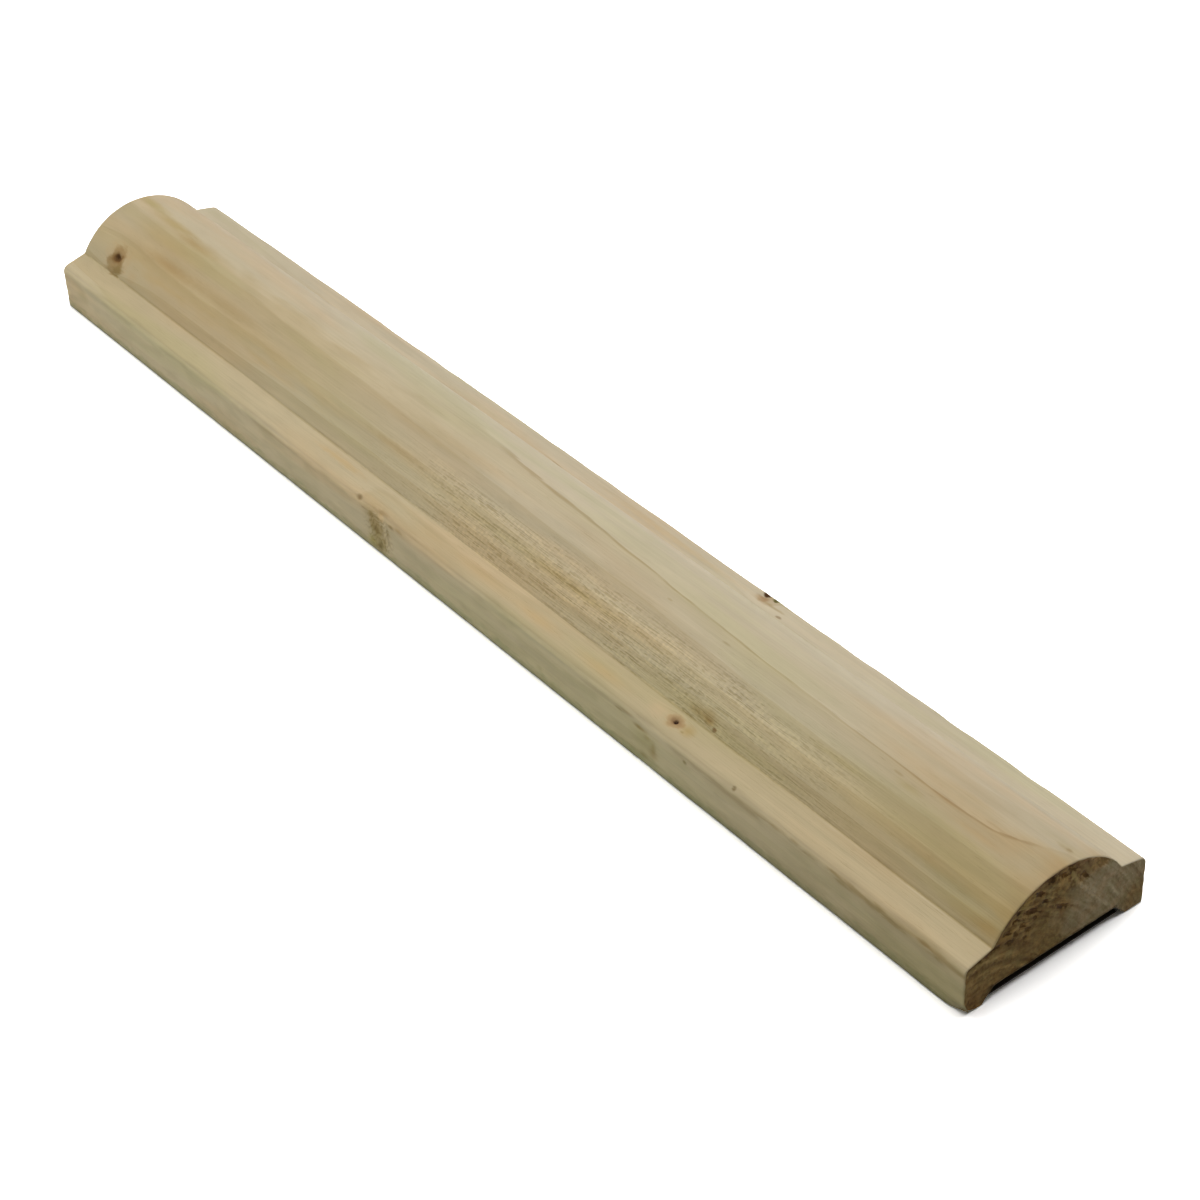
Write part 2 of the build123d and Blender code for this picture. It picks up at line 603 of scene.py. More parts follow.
line_share = line_share * (0.6 + fibre.fade(0.35, 0.6) * 0.4)
colour = planed.tinted(colour, line_share, (0.68, 0.6, 0.46))
canals = planed.patches(5.5, 0.2, 6, 1.0).fade(0.66, 0.76)
colour = planed.tinted(colour, canals * 0.3, (0.72, 0.66, 0.55))

on_flank = across.fade(-7.0, -17.0) * across.fade(-past_root, -short_of_root)
grime = planed.patches(11.0, 2.2, 7, 3.0)
blotch = planed.patches(15.0, 4.5, 16)
ragged_across = across + (cloud - 0.5) * 9.0
upper_flank = ragged_across.fade(-19.0, -14.5) * ragged_across.fade(4.0, -1.5) * on_bead
colour = planed.tinted(colour, on_flank, (1.1, 1.09, 0.99))
colour = planed.tinted(colour, on_flank * along.fade(60.0, 212.0), (0.98, 0.95, 0.88))
tan_zone = upper_flank * along.fade(0.0, -110.0) * (1 - along.fade(-188.0, -206.0) * 0.6)
colour = planed.tinted(colour, tan_zone, (0.94, 0.89, 0.79))
colour = planed.tinted(colour, upper_flank * along.fade(130.0, 200.0), (1.0, 0.94, 0.84))
colour = planed.tinted(colour, on_bead * along.fade(-100.0, -190.0), (0.97, 0.96, 0.93))
colour = planed.tinted(colour, on_shoulder, (1.065, 1.04, 0.96))
# The back half is painted a little cooler: a painted sheen of the pale room on that grazing flank.
colour = planed.tinted(colour, across.fade(0.0, 8.0), (1.0, 1.01, 1.05))
# The bead is painted darker toward the near end: painted shade, as the light falls off there.
colour = planed.tinted(colour, on_bead * along.fade(100.0, 212.0), (0.89, 0.88, 0.85))
# The side edges are painted much lighter. This is painted light, standing in for the bounce light
# they lack under these lamps.
colour = planed.tinted(colour, on_side, (1.54, 1.545, 1.43))
# The front side edge is painted darker toward the near end: painted shade, as the light falls off
# there.
colour = planed.tinted(colour, on_side * along.fade(90.0, 212.0) * front, (0.8, 0.78, 0.71))
colour = planed.tinted(colour, on_side * blotch.fade(0.44, 0.6) * 0.6, (0.86, 0.86, 0.81))
specked = planed.patches(3.4, 1.1, 19, 3.0)
low_edge = height.fade(6.0, 0.5) + (grime - 0.5)
low_edge = low_edge + (specked - 0.5) * height.fade(9.0, 2.0) * 1.2
colour = planed.tinted(colour, on_side * low_edge.fade(0.3, 1.1) * 0.95, (0.72, 0.79, 0.7))
near_foot = on_side * height.fade(6.0, 1.0) * along.fade(80.0, 120.0)
colour = planed.tinted(colour, near_foot, (0.9, 0.9, 0.88))
# The bottom millimetre or so of each side edge is painted dark: a painted contact shadow along the
# foot.
colour = planed.tinted(colour, on_side * height.fade(1.5, 0.5) * 0.75, (0.5, 0.52, 0.46))
under = height.fade(4.4, 3.8) * (1 - on_side)
colour = planed.tinted(colour, under, (0.88, 0.9, 0.85))
# The recess roof and the top of its splayed walls are painted much darker near each end: painted
# shade in the recess.
painted_recess_shade = abs(across).fade(half_mouth + 0.4, half_mouth) * height.fade(4.4, 3.8)
colour = planed.tinted(colour, painted_recess_shade * abs(along).fade(190.0, 211.0) * 0.9, (0.3, 0.25, 0.18))
colour = planed.tinted(colour, on_bead * along.fade(205.0, 212.5), (0.96, 0.92, 0.85))
under_arris = abs(height - 13.1 + (blotch - 0.5) * 3.0).fade(1.6, 0.3)
under_arris = under_arris * on_side * grime.fade(0.42, 0.58)
under_arris = under_arris * (0.2 + along.fade(60.0, 170.0) * 0.55)
colour = planed.tinted(colour, under_arris, (0.72, 0.65, 0.52))
worn_arris = ((abs(across) - 29.2) / 0.75).hump() * height.fade(14.0, 15.0)
colour = planed.tinted(colour, worn_arris * 0.15, (1.12, 1.09, 1.03))
# A dark line is painted along the front root of the bead: painted shade in the crease where bead
# and shoulder meet.
painted_root_shade = abs(across + half_bead).fade(0.5, 0.1) * streak.fade(0.35, 0.6)
colour = planed.tinted(colour, painted_root_shade * 0.5, (0.7, 0.64, 0.52))

# The torn fibres: short dashes, dark where they are lifted out, with painted highlights where they
# stand up, crossed by the faint even marks of the cutters.
torn = along.fade(-66.0, 10.0) * along.fade(190.0, 110.0)
torn = torn * across.fade(-7.5, -12.5) * across.fade(-21.6, -21.2)
torn = torn * (0.4 + planed.patches(26.0, 3.2, 8).fade(0.36, 0.56) * 0.6)
strands = planed.patches(20.0, 0.6, 9, 0.0)
breaks = planed.patches(2.4, 0.8, 17, 1.0)
round_bead = across.maths("ARCSINE", across / bead_radius) * bead_radius
fibres = (round_bead * 6.8 + strands * 9.0).wave()
dark_dash = fibres.fade(0.55, 0.1) * breaks.fade(0.4, 0.58) * torn
painted_fibre_highlight = fibres.fade(0.5, 0.95) * breaks.fade(0.56, 0.42) * torn
cutter_marks = (along * 3.9 + streak * 9.0).wave()
colour = planed.tinted(colour, dark_dash * 0.75, (0.76, 0.72, 0.62))
# Painted highlights on the fibres that stand up.
colour = planed.tinted(colour, painted_fibre_highlight * 0.8, (1.17, 1.17, 1.12))
colour = planed.lit(colour, 1 + (cutter_marks - 0.5) * torn * 0.06)

brown = (0.74, 0.66, 0.52)
orange = (1.0, 0.91, 0.79)
moss = (0.78, 0.78, 0.64)
# Stains, streaks and specks. Each has its place along the grain and round the section, its half
# length and half width, the share of them over which it is at full strength, that strength and
# its tint. Those that are at full strength only in the very middle have smoother rims.
marks = (
    (-207.0, 52.6, 17.0, 2.9, 0.0, 0.9, (0.82, 0.79, 0.58)),
    (-188.0, 50.8, 20.0, 2.8, 0.0, 0.9, (0.83, 0.77, 0.58)),
    (-172.0, 48.6, 17.0, 2.6, 0.0, 0.85, (0.84, 0.75, 0.6)),
    (-178.0, 43.0, 26.0, 5.0, 0.0, 0.7, (1.05, 0.97, 0.89)),
    (-170.0, 37.2, 24.0, 3.4, 0.0, 0.9, (0.84, 0.76, 0.64)),
    (-138.0, 37.6, 32.0, 3.0, 0.0, 0.65, (0.86, 0.78, 0.66)),
    (-30.0, 45.0, 40.0, 5.0, 0.0, 0.9, (0.91, 0.88, 0.8)),
    (20.0, 32.4, 60.0, 2.2, 0.0, 0.8, (0.91, 0.89, 0.8)),
    (120.0, 26.0, 60.0, 2.4, 0.0, 0.6, (0.92, 0.9, 0.82)),
    (64.0, 42.0, 80.0, 2.6, 0.0, 0.6, (1.0, 0.98, 0.91)),
    (110.0, 57.0, 34.0, 2.6, 0.0, 0.6, (1.04, 1.06, 1.08)),
    (90.0, 3.2, 14.0, 2.2, 0.0, 0.8, (0.84, 0.83, 0.76)),
    (200.0, 15.2, 14.0, 1.3, 0.0, 0.8, (0.82, 0.82, 0.76)),
    (-206.0, 4.5, 9.0, 3.2, 0.0, 0.7, (0.87, 0.88, 0.87)),
    (-70.0, 34.8, 42.0, 2.0, 0.0, 0.8, (1.0, 1.05, 1.07)),
    (-50.0, 77.5, 40.0, 2.0, 0.0, 0.7, (0.97, 1.01, 0.99)),
    (206.5, 46.5, 8.0, 6.0, 0.0, 0.8, (0.97, 1.04, 1.11)),
    (208.5, 27.5, 6.5, 3.0, 0.0, 0.8, (1.02, 0.91, 0.78)),
    (-125.0, 69.0, 9.0, 3.0, 0.0, 0.35, brown),
    (-55.0, 21.2, 17.0, 1.7, 0.1, 0.8, (1.0, 0.9, 0.76)),
    (-20.0, 19.0, 22.0, 3.4, 0.2, 0.9, (1.0, 1.03, 1.06)),
    (-9.0, 19.6, 11.0, 2.4, 0.0, 0.3, orange),
    (15.0, 20.5, 14.0, 2.2, 0.0, 0.3, orange),
    (44.0, 19.6, 14.0, 3.0, 0.0, 0.8, (1.05, 0.95, 0.84)),
    (72.0, 19.2, 16.0, 2.8, 0.0, 0.8, (1.06, 0.95, 0.84)),
    (106.0, 20.4, 3.6, 2.8, 0.0, 0.9, (0.92, 0.79, 0.6)),
    (94.5, 20.4, 6.0, 4.0, 0.0, 1.0, (1.1, 1.03, 1.04)),
    (105.0, 19.2, 1.0, 0.5, 0.2, 0.7, brown),
    (40.0, 78.6, 42.0, 2.2, 0.1, 0.8, orange),
    (48.0, 32.6, 30.0, 1.4, 0.0, 0.6, (0.9, 0.89, 0.76)),
    (204.0, 26.6, 13.0, 2.6, 0.0, 0.6, (0.9, 0.82, 0.68)),
    (188.0, 40.5, 24.0, 1.8, 0.0, 0.6, (0.95, 0.95, 0.82)),
    (148.0, 38.0, 16.0, 1.3, 0.0, 0.4, (0.84, 0.82, 0.58)),
    (190.0, 31.0, 26.0, 1.2, 0.1, 0.25, brown),
    (202.0, 33.5, 13.0, 3.4, 0.0, 0.7, (1.07, 1.05, 1.07)),
    (168.0, 43.0, 7.0, 1.6, 0.0, 0.6, (0.86, 0.84, 0.66)),
    (192.0, 43.6, 14.0, 1.6, 0.0, 0.6, (1.0, 0.9, 0.8)),
    (178.0, 46.2, 9.0, 1.0, 0.0, 0.7, (0.87, 0.78, 0.67)),
    (186.0, 46.5, 24.0, 3.0, 0.0, 0.5, (0.99, 1.02, 1.07)),
    (207.0, 41.0, 8.0, 5.0, 0.0, 0.5, (0.98, 0.9, 0.8)),
    (184.0, 50.0, 22.0, 2.2, 0.0, 0.7, (0.97, 1.02, 1.08)),
    (186.0, 54.0, 36.0, 4.4, 0.0, 0.8, (0.93, 0.9, 0.88)),
    (206.0, 57.6, 12.0, 3.4, 0.0, 0.9, (0.9, 0.87, 0.82)),
    (207.5, 56.0, 4.5, 1.4, 0.1, 0.6, (0.8, 0.75, 0.66)),
    (208.6, 56.4, 1.3, 0.8, 0.3, 0.6, (0.68, 0.6, 0.47)),
    (193.0, 48.4, 7.0, 0.8, 0.0, 0.5, (0.82, 0.76, 0.66)),
    (-201.0, 9.0, 6.0, 3.6, 0.0, 0.6, moss),
    (94.0, 8.0, 8.0, 5.5, 0.0, 0.8, moss),
    (93.0, 11.5, 3.8, 1.1, 0.0, 0.85, brown),
    (97.5, 6.0, 2.8, 3.2, 0.0, 0.8, brown),
    (86.5, 13.4, 5.0, 0.8, 0.0, 0.6, brown),
    (91.6, 11.6, 3.6, 1.1, 0.0, 0.7, (0.72, 0.65, 0.48)),
    (95.2, 9.8, 2.8, 1.4, 0.0, 0.6, (0.72, 0.66, 0.48)),
    (97.8, 8.4, 1.8, 3.2, 0.0, 0.6, (0.72, 0.66, 0.48)),
    (93.6, 3.2, 3.0, 1.6, 0.0, 0.7, (0.7, 0.68, 0.5)),
    (84.0, 12.6, 3.0, 0.5, 0.2, 0.7, (0.72, 0.66, 0.52)),
    (48.6, 4.6, 2.2, 1.6, 0.0, 0.6, moss),
    (146.0, 13.6, 3.6, 0.8, 0.1, 0.6, brown),
    (153.0, 13.9, 2.4, 0.6, 0.1, 0.6, brown),
    (167.0, 13.9, 3.6, 0.8, 0.1, 0.5, brown),
    (183.0, 13.9, 4.2, 0.8, 0.1, 0.5, brown),
    (199.0, 13.9, 3.5, 0.8, 0.1, 0.65, brown),
    (-86.0, 13.2, 20.0, 1.0, 0.0, 0.5, brown),
    (-40.0, 34.3, 24.0, 0.6, 0.1, 0.4, brown),
    (73.0, 46.0, 1.5, 0.35, 0.3, 0.5, brown),
    (97.0, 45.3, 2.2, 0.3, 0.3, 0.5, brown),
    (163.0, 44.5, 2.6, 0.3, 0.3, 0.5, brown),
    (105.0, 26.5, 8.0, 2.4, 0.0, 0.8, brown),
    (108.4, 27.2, 4.0, 3.4, 0.1, 0.6, (0.84, 0.75, 0.61)),
    (109.0, 26.0, 3.2, 0.9, 0.0, 0.7, (0.72, 0.61, 0.46)),
    (111.6, 25.0, 1.1, 0.6, 0.3, 0.8, (0.42, 0.28, 0.17)),
    (129.3, 15.6, 1.1, 0.6, 0.3, 0.85, (0.38, 0.3, 0.17)),
    (110.8, 11.7, 1.1, 0.8, 0.2, 0.75, (0.48, 0.44, 0.28)),
    (-38.0, 15.6, 1.9, 0.4, 0.1, 0.8, (0.42, 0.34, 0.22)),
    (85.8, 76.8, 1.3, 0.8, 0.3, 0.75, (0.52, 0.42, 0.32)),
)
ragged = (planed.patches(2.6, 0.9, 10, 3.0) - 0.5) * 0.9


def spread(place, size, solid, reach_down):
    """1 over a mark's middle, falling to 0 at its ragged rim. It reaches that far into a pit."""
    tilt, wide, deep = tilt_at(place[1]), size[1], max(size[1], reach_down)
    over_width = math.hypot(wide * math.cos(tilt), deep * math.sin(tilt))
    over_height = math.hypot(wide * math.sin(tilt), deep * math.cos(tilt))
    away = planed.off(on_surface(*place), (size[0], over_width, over_height))
    return (away + ragged * (1.0 if solid else 0.35)).fade(1.0, solid)


deepest_pit = 2.0
for mark_along, mark_round, long_half, wide_half, solid, share, tint in marks:
    reach_down = min(deepest_pit, long_half)
    here = spread((mark_along, mark_round), (long_half, wide_half), solid, reach_down)
    colour = planed.tinted(colour, here * share, tint)

# Knots, each laid from its widest halo to the black pit in its middle, as the marks are.
knot_layers = (
    (-195.0, 29.0, 10.0, 7.0, 0.2, 0.8, (1.04, 0.94, 0.87)),
    (-184.0, 27.0, 5.0, 3.4, 0.0, 0.6, (1.05, 0.96, 0.88)),
    (-195.0, 27.0, 5.8, 4.4, 0.6, 0.95, (0.68, 0.6, 0.46)),
    (-195.2, 30.4, 4.8, 4.2, 0.5, 0.85, (0.72, 0.63, 0.5)),
    (-192.6, 26.0, 3.2, 2.8, 0.3, 0.8, (0.72, 0.72, 0.56)),
    (-195.2, 29.3, 3.2, 2.3, 0.2, 0.85, (0.55, 0.42, 0.25)),
    (-195.2, 29.3, 2.3, 1.4, 0.3, 0.98, (0.18, 0.1, 0.02)),
    (100.8, 20.4, 4.8, 3.4, 0.4, 0.7, (1.04, 0.93, 0.89)),
    (100.9, 20.4, 3.7, 2.4, 0.6, 0.75, (0.8, 0.69, 0.6)),
    (100.9, 20.5, 2.5, 1.6, 0.2, 0.8, (0.58, 0.45, 0.35)),
    (101.0, 20.6, 1.15, 0.85, 0.5, 0.98, (0.06, 0.02, 0.004)),
    (77.0, 80.0, 4.6, 3.4, 0.5, 0.6, (0.82, 0.72, 0.6)),
    (76.2, 80.0, 2.4, 2.2, 0.2, 0.85, (0.72, 0.55, 0.4)),
    (81.0, 79.2, 5.4, 0.8, 0.2, 0.7, (0.72, 0.64, 0.48)),
    (80.0, 82.6, 7.0, 0.9, 0.2, 0.7, (0.72, 0.72, 0.56)),
    (76.6, 87.0, 6.0, 4.6, 0.2, 0.8, (0.86, 0.78, 0.64)),
    (76.2, 86.4, 3.2, 3.0, 0.3, 0.85, (0.72, 0.58, 0.44)),
    (75.6, 85.0, 1.7, 1.5, 0.3, 0.9, (0.3, 0.2, 0.1)),
    (74.8, 82.4, 1.8, 0.9, 0.5, 0.98, (0.12, 0.05, 0.005)),
    (78.4, 82.9, 1.4, 0.8, 0.3, 0.9, (0.24, 0.27, 0.1)),
    (-30.5, 12.0, 7.0, 5.0, 0.2, 0.8, (0.82, 0.77, 0.64)),
    (-29.6, 10.0, 5.4, 5.0, 0.2, 0.85, (0.78, 0.73, 0.58)),
    (-26.4, 10.0, 1.0, 3.6, 0.2, 0.6, (0.66, 0.6, 0.46)),
    (-28.0, 8.0, 8.0, 9.0, 0.2, 0.5, (0.84, 0.8, 0.68)),
    (-29.0, 4.8, 6.2, 6.6, 0.2, 0.9, (0.72, 0.69, 0.51)),
    (-32.4, 2.8, 3.6, 3.0, 0.0, 0.7, (0.94, 0.96, 0.62)),
    (-28.0, 3.6, 2.0, 2.6, 0.2, 0.85, (0.52, 0.48, 0.34)),
    (-29.4, 8.4, 1.8, 1.8, 0.2, 0.7, (0.66, 0.6, 0.46)),
    (-31.4, 12.4, 1.6, 1.4, 0.2, 0.6, (0.72, 0.65, 0.52)),
    (-26.6, 13.8, 2.2, 1.5, 0.3, 0.8, (1.3, 1.24, 1.16)),
    (-26.0, 16.2, 3.6, 0.4, 0.1, 0.6, (0.72, 0.62, 0.5)),
    (-23.6, 9.6, 1.3, 5.0, 0.1, 0.85, (0.58, 0.53, 0.4)),
    (-25.6, 5.8, 0.9, 3.0, 0.0, 0.6, (0.66, 0.6, 0.46)),
    (-21.6, 13.2, 2.4, 1.0, 0.2, 0.85, (0.6, 0.53, 0.4)),
    (-18.0, 13.9, 2.8, 0.6, 0.2, 0.7, (0.68, 0.6, 0.47)),
    (-35.0, 13.0, 2.6, 0.7, 0.1, 0.6, (0.74, 0.66, 0.52)),
)
for mark_along, mark_round, long_half, wide_half, solid, share, tint in knot_layers:
    here = spread((mark_along, mark_round), (long_half, wide_half), solid, deepest_pit)
    colour = planed.tinted(colour, here * share, tint)

# The grain of the edge knot leans through the side edge in short dark waves.
edge_reach = planed.off(on_surface(-28.0, 7.5), (9.5, 9.0, 9.0))
leaning = along * 0.75 - height * 1.1 + (planed.patches(5.0, 3.4, 11, 3.0) - 0.5) * 14.0
edge_grain = edge_reach.fade(1.0, 0.4) * on_side * (leaning * 2.6).wave().fade(0.45, 0.95)
colour = planed.tinted(colour, edge_grain * 0.6, (0.64, 0.58, 0.44))

lift = fibre * 0.5 + streak * 0.3 - dark_dash * 0.9 - canals * 0.5
relief = planed.node("Bump", (), {"Strength": 0.55, "Distance": 0.00016, "Height": lift})
planed.feed(planed.shader.inputs["Base Color"], colour)
roughness = 0.66 - to_late * 0.06 + dark_dash * 0.15 - (fibre - 0.5) * 0.1
planed.feed(planed.shader.inputs["Roughness"], roughness)
planed.feed(planed.shader.inputs["Normal"], relief)
planed.shader.inputs["Specular IOR Level"].default_value = 0.14
mesh.materials.append(planed.material)

# The sawn ends: end grain, dark brown from the preservative it drank, rough along the rings, with
# a few pale arcs where the late wood is hard, and darkest at the crown and in the torn pits.
sawn = Wood("sawn_end_grain")
radius, turn, _ = sawn.growth()
across, height = sawn.across, sawn.height
facing = across * (sawn.along.fade(-1.0, 1.0) * 2.0 - 1)
mottle = sawn.patches(4.0, 3.4, 12, 3.0)
speckle = sawn.patches(2.0, 1.15, 13, 3.0)
ring_place = sawn.node("CombineXYZ", (), {0: turn * 9.0, 1: radius / 1.2, 2: 0.0})
splinter = sawn.node("TexNoise", (), {"Vector": ring_place, "Scale": 1.0, "Detail": 4.0})
wide_place = sawn.node("CombineXYZ", (), {0: turn * 6.0, 1: radius / 2.6, 2: 5.0})
torn_band = sawn.node("TexNoise", (), {"Vector": wide_place, "Scale": 1.0, "Detail": 2.0})
wide_mottle = sawn.patches(9.0, 8.0, 15, 1.0)
olive_brown = (facing + (wide_mottle - 0.5) * 24.0).fade(16.0, -6.0) + height.fade(18.0, 24.0)
olive_brown = olive_brown + ((facing - 27.0) / 6.0).hump() * ((height - 4.0) / 6.0).hump() * 0.8
pale_wood, dark_wood = (*shade(178, 158, 119), 1.0), (*shade(149, 122, 72), 1.0)
colour = sawn.blended(olive_brown.fade(0.0, 1.0), pale_wood, dark_wood)
crown_side = (height + (mottle - 0.5) * 6.0 - abs(facing + 4.0) * 0.35).fade(12.0, 17.0)
rough = 0.35 + olive_brown.fade(0.0, 1.0) * 0.25 + crown_side * 0.4
streaked = splinter * 0.6 + speckle * 0.4
colour = sawn.lit(colour, 1 + (mottle - 0.5) * rough * 1.1)
colour = sawn.tinted(colour, mottle.fade(0.5, 0.62) * 0.6, (1.05, 0.98, 0.95))
colour = sawn.tinted(colour, mottle.fade(0.5, 0.38) * 0.6, (0.96, 1.0, 0.92))
colour = sawn.tinted(colour, streaked.fade(0.5, 0.41) * rough * 1.2, (0.68, 0.6, 0.45))
colour = sawn.tinted(colour, streaked.fade(0.5, 0.59) * rough * 1.2, (1.26, 1.32, 1.44))
colour = sawn.tinted(colour, torn_band.fade(0.5, 0.57) * crown_side * 0.6, (0.58, 0.48, 0.34))
from_rim = bead_radius - (across * across + (height - bead_centre) ** 2.0) ** 0.5
rim_line = ((from_rim - 0.6 - (streaked - 0.5) * 5.0) / 0.7).hump()
rim_line = rim_line * height.fade(16.5, 18.0) * facing.fade(9.0, 3.0)
shoulder_line = ((height - 14.2 - (facing + half_width) * 0.2) / 0.9).hump()
shoulder_line = shoulder_line * facing.fade(-15.0, -20.0)
edge_lines = (rim_line + shoulder_line) * mottle.fade(0.3, 0.5)
colour = sawn.tinted(colour, edge_lines * 0.9, (0.44, 0.33, 0.2))
flecks = speckle.fade(0.6, 0.72) * (1 - crown_side * 0.4)
colour = sawn.tinted(colour, flecks * rough * 0.7, (1.45, 1.5, 1.56))
# Stains in the end grain: how far across and up, how far they reach, how strong and their tint.
stains = (
    (3.0, 27.4, 4.2, 2.8, 0.75, (0.76, 0.68, 0.56)),
    (9.2, 25.8, 4.6, 3.6, 0.9, (1.26, 1.25, 1.56)),
    (14.6, 21.6, 4.0, 3.4, 0.6, (1.18, 1.18, 1.24)),
    (-3.4, 22.2, 4.0, 3.4, 0.9, (1.16, 1.26, 1.38)),
    (-10.6, 24.6, 3.4, 2.8, 0.9, (1.2, 1.24, 1.06)),
    (-18.6, 17.4, 6.2, 3.4, 0.8, (1.12, 1.1, 0.92)),
    (4.2, 20.0, 3.0, 2.6, 0.6, (0.84, 0.84, 0.84)),
    (1.6, 16.0, 4.4, 3.4, 0.6, (1.12, 1.14, 1.22)),
    (-24.0, 11.0, 5.0, 2.0, 0.7, (0.9, 0.86, 0.78)),
    (-29.0, 1.6, 2.6, 2.2, 0.7, (0.84, 0.86, 0.8)),
)
for at_y, at_z, reach_y, reach_z, share, tint in stains:
    reach = ((facing - at_y) / reach_y) ** 2.0 + ((height - at_z) / reach_z) ** 2.0
    colour = sawn.tinted(colour, (reach + (streaked - 0.5) * 3.0).fade(1.3, 0.0) * share, tint)
# Arcs of the rings: how far from the pith, how wide, between which places across, how strong and
# their tint.
pale = (1.62, 1.74, 1.95)
dark_brown = (0.5, 0.41, 0.29)
arcs = (
    (33.8, 0.9, -30.0, -9.0, 0.85, pale),
    (30.3, 0.7, -28.0, -8.0, 0.6, pale),
    (42.2, 0.5, -15.0, -4.0, 0.5, pale),
    (50.6, 1.1, -2.0, 16.0, 0.45, pale),
    (49.2, 0.4, 9.0, 20.0, 0.6, pale),
    (53.2, 0.45, 15.0, 23.0, 0.6, pale),
    (57.6, 0.4, 18.0, 28.0, 0.4, pale),
    (32.1, 1.0, -31.0, -4.0, 0.55, dark_brown),
    (36.3, 1.3, -24.0, -6.0, 0.6, dark_brown),
    (28.0, 1.2, -20.0, -2.0, 0.5, dark_brown),
    (43.8, 0.5, -14.0, 5.0, 0.7, dark_brown),
    (47.0, 0.35, -8.0, 8.0, 0.3, dark_brown),
    (57.2, 1.8, 8.0, 21.0, 0.4, pale),
    (54.4, 1.0, -4.0, 13.0, 0.6, dark_brown),
    (55.6, 0.5, 12.0, 24.0, 0.5, dark_brown),
    (60.4, 0.5, 20.0, 31.0, 0.4, dark_brown),
)
bent = facing.fade(-30.0, 0.0) * facing.fade(6.0, -2.0) * height.fade(16.0, 12.0) * 3.0
wavy_radius = radius + bent + (speckle - 0.5) * 1.2 + (mottle - 0.5) * 1.6
for arc_radius, arc_half, first, last, share, tint in arcs:
    edge = min(4.0, (last - first) / 3)
    along_arc = facing.fade(first, first + edge) * facing.fade(last, last - edge)
    arc = ((wavy_radius - arc_radius) / arc_half).hump() * along_arc
    colour = sawn.tinted(colour, arc * share, tint)
# The sawn end is painted dark along the top of the recess mouth: painted shade over the gap under
# the batten.
painted_end_recess_shade = height.fade(4.9, 4.2) * abs(facing).fade(half_mouth, half_roof)
colour = sawn.tinted(colour, painted_end_recess_shade * mottle.fade(0.2, 0.45) * 0.9, (0.2, 0.15, 0.1))
red_foot = ((facing + 27.0) / 3.5).hump() * ((height - 3.0) / 3.0).hump()
colour = sawn.tinted(colour, red_foot * 0.7, (0.9, 0.68, 0.6))
# The torn pits are dark, and those at the crown nearly black.
for pit in pits:
    long_way, short_way = in_pit(facing, height, pit)
    reach = (long_way * long_way + short_way * short_way) ** 0.5
    reach = reach + (streaked - 0.5) * 6.0 + (mottle - 0.5) * 1.2
    colour = sawn.tinted(colour, reach.fade(2.1, 1.0) * 0.45, (0.72, 0.63, 0.48))
    darkness = 0.95 if pit[1] > 19 else 0.7
    colour = sawn.tinted(colour, reach.fade(1.3, 0.8) * darkness, (0.4, 0.3, 0.06))
lift = mottle * 0.4 + speckle + splinter * 1.6
relief = sawn.node("Bump", (), {"Strength": 0.8, "Distance": 0.0005, "Height": lift})
sawn.feed(sawn.shader.inputs["Base Color"], colour)
sawn.feed(sawn.shader.inputs["Roughness"], 0.82 + (speckle - 0.5) * 0.1)
sawn.feed(sawn.shader.inputs["Normal"], relief)
sawn.shader.inputs["Specular IOR Level"].default_value = 0.2
mesh.materials.append(sawn.material)

# A plain pale floor under the batten. The camera and reflections see it as white, down to the
# shadow close round the batten and out to where the lamps no longer reach. A nearly black painted
# shadow lies on it in the gap under the recess, while the batten is lit by its plain pale grey.
floor_reach = 6.0
floor_pale = 0.4
floor_seen = 2.1
lamp_reach = 700.0
floor_mesh = bpy.data.meshes.new("floor")
floor_corners = [(-floor_reach, -floor_reach, 0), (floor_reach, -floor_reach, 0)]
floor_corners += [(floor_reach, floor_reach, 0), (-floor_reach, floor_reach, 0)]
floor_mesh.from_pydata(floor_corners, [], [(0, 1, 2, 3)])
floor = bpy.data.objects.new("floor", floor_mesh)
bpy.context.scene.collection.objects.link(floor)
floor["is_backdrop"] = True
paint = Finish("floor_paint")
to_camera = paint.node("LightPath", output="Is Camera Ray")
in_gloss = paint.node("LightPath", output="Is Glossy Ray")
seen = to_camera.maths("MAXIMUM", to_camera, in_gloss)
pale = (floor_pale, floor_pale, floor_pale, 1.0)
far_off = (paint.along * paint.along + paint.across * paint.across) / lamp_reach**2
bright = paint.lit((floor_seen, floor_seen, floor_seen), 1 + far_off * far_off * to_camera)
floor_colour = paint.blended(seen, pale, bright)
# The floor under the recess is painted nearly black: a painted shadow in the gap under the batten.
painted_gap_shadow = abs(paint.along).fade(half_length - 1.2, half_length - 1.8)
painted_gap_shadow = painted_gap_shadow * abs(paint.across).fade(half_mouth + 0.2, half_mouth - 1.2)
floor_colour = paint.tinted(floor_colour, painted_gap_shadow, (0.03, 0.026, 0.02))
paint.feed(paint.shader.inputs["Base Color"], floor_colour)
paint.shader.inputs["Roughness"].default_value = 0.95
paint.shader.inputs["Specular IOR Level"].default_value = 0.0
floor_mesh.materials.append(paint.material)

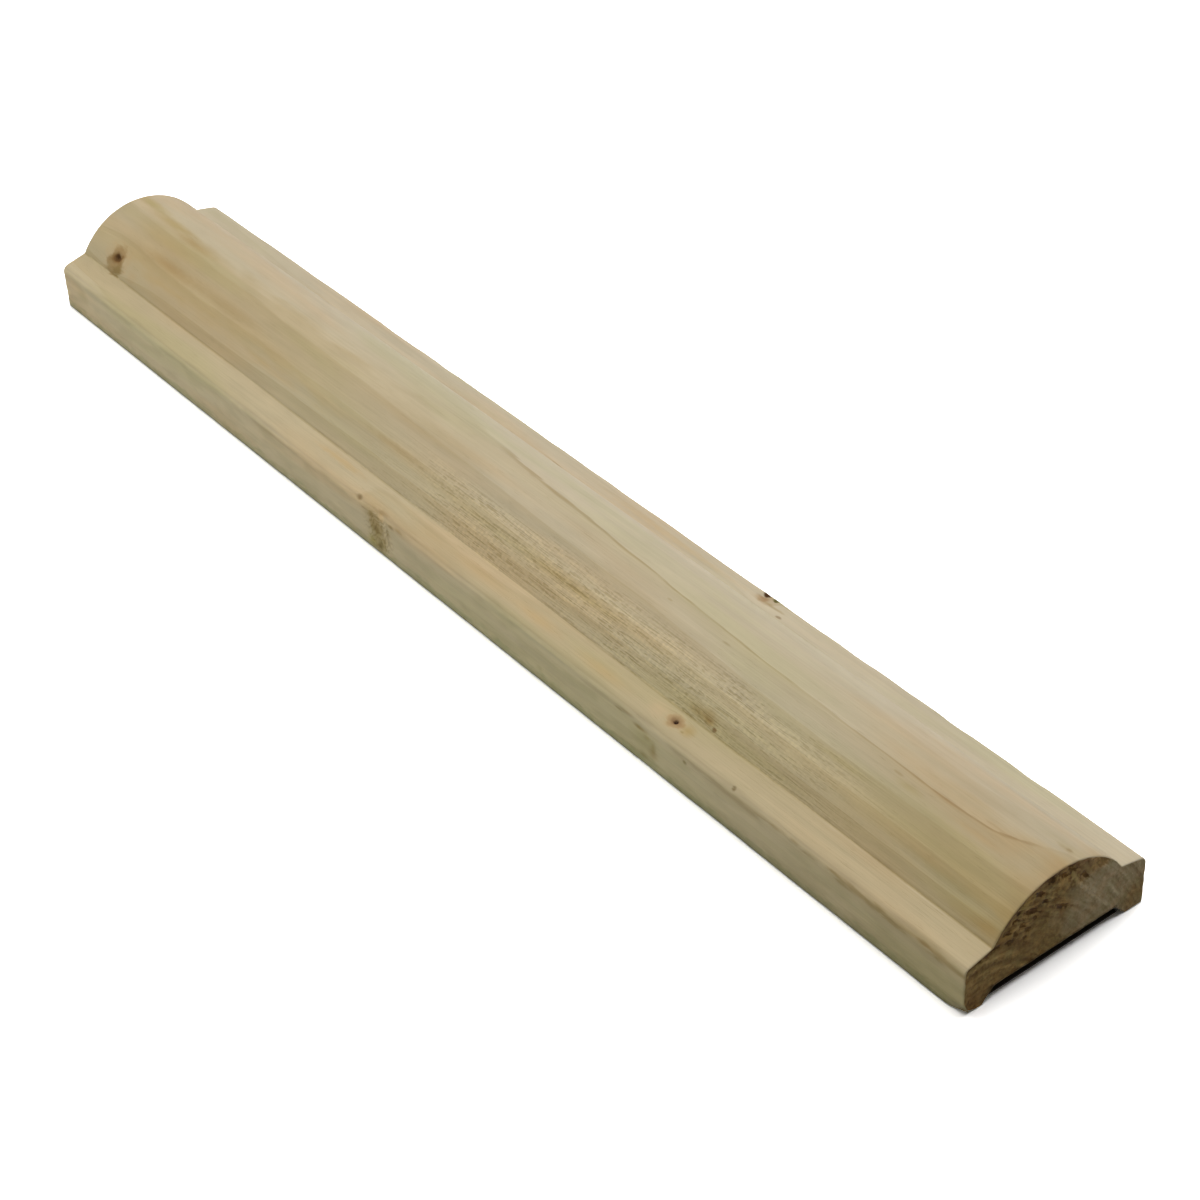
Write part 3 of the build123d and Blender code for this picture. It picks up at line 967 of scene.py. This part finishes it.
# Soft studio light: a dim white room, one broad lamp overhead, one behind the back edge, and one
# low on the front toward the far end, so that the front faces darken towards the near end.
world = bpy.data.worlds.new("studio")
bpy.context.scene.world = world
world.use_nodes = True
room = world.node_tree.nodes["Background"]
room.inputs["Color"].default_value = (1.0, 1.0, 1.0, 1.0)
room_light = 0.07
walls = Nodes(world.node_tree)
to_camera = walls.node("LightPath", output="Is Camera Ray")
walls.feed(room.inputs["Strength"], to_camera * (1.0 - room_light) + room_light)


def soft_lamp(name, place, size, power):
    """A square lamp that faces the middle of the batten."""
    lamp = bpy.data.lights.new(name, "AREA")
    lamp.size = size
    lamp.energy = power
    holder = bpy.data.objects.new(name, lamp)
    holder.location = place
    holder.rotation_euler = (-Vector(place)).to_track_quat("-Z", "Y").to_euler()
    bpy.context.scene.collection.objects.link(holder)


soft_lamp("lamp_overhead", (0.0, 0.15, 1.6), 1.2, 17.6)
soft_lamp("lamp_behind", (0.0, 1.4, 0.9), 1.2, 9.6)
soft_lamp("lamp_front", (-1.2, -0.9, 0.8), 1.0, 8.0)

# The camera, where the photograph was taken from.
camera_azimuth = math.radians(54.1753)
camera_elevation = math.radians(37.4395)
camera_roll = math.radians(-3.299)
camera_distance = 0.7720651
camera_target = Vector((0.0305939, 0.0044483, 0.0))
focal_pixels = 2747.979
image_side = 1200
ground = math.cos(camera_elevation)
backwards = Vector((
    math.sin(camera_azimuth) * ground,
    -math.cos(camera_azimuth) * ground,
    math.sin(camera_elevation),
))
camera_data = bpy.data.cameras.new("camera")
camera_data.sensor_width = 36.0
camera_data.lens = camera_data.sensor_width * focal_pixels / image_side
camera = bpy.data.objects.new("camera", camera_data)
aim = backwards.to_track_quat("Z", "Y").to_matrix().to_4x4() @ Matrix.Rotation(camera_roll, 4, "Z")
camera.matrix_world = Matrix.Translation(camera_target + backwards * camera_distance) @ aim
bpy.context.scene.collection.objects.link(camera)
bpy.context.scene.camera = camera
bpy.context.scene.view_settings.view_transform = "Standard"

low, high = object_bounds()
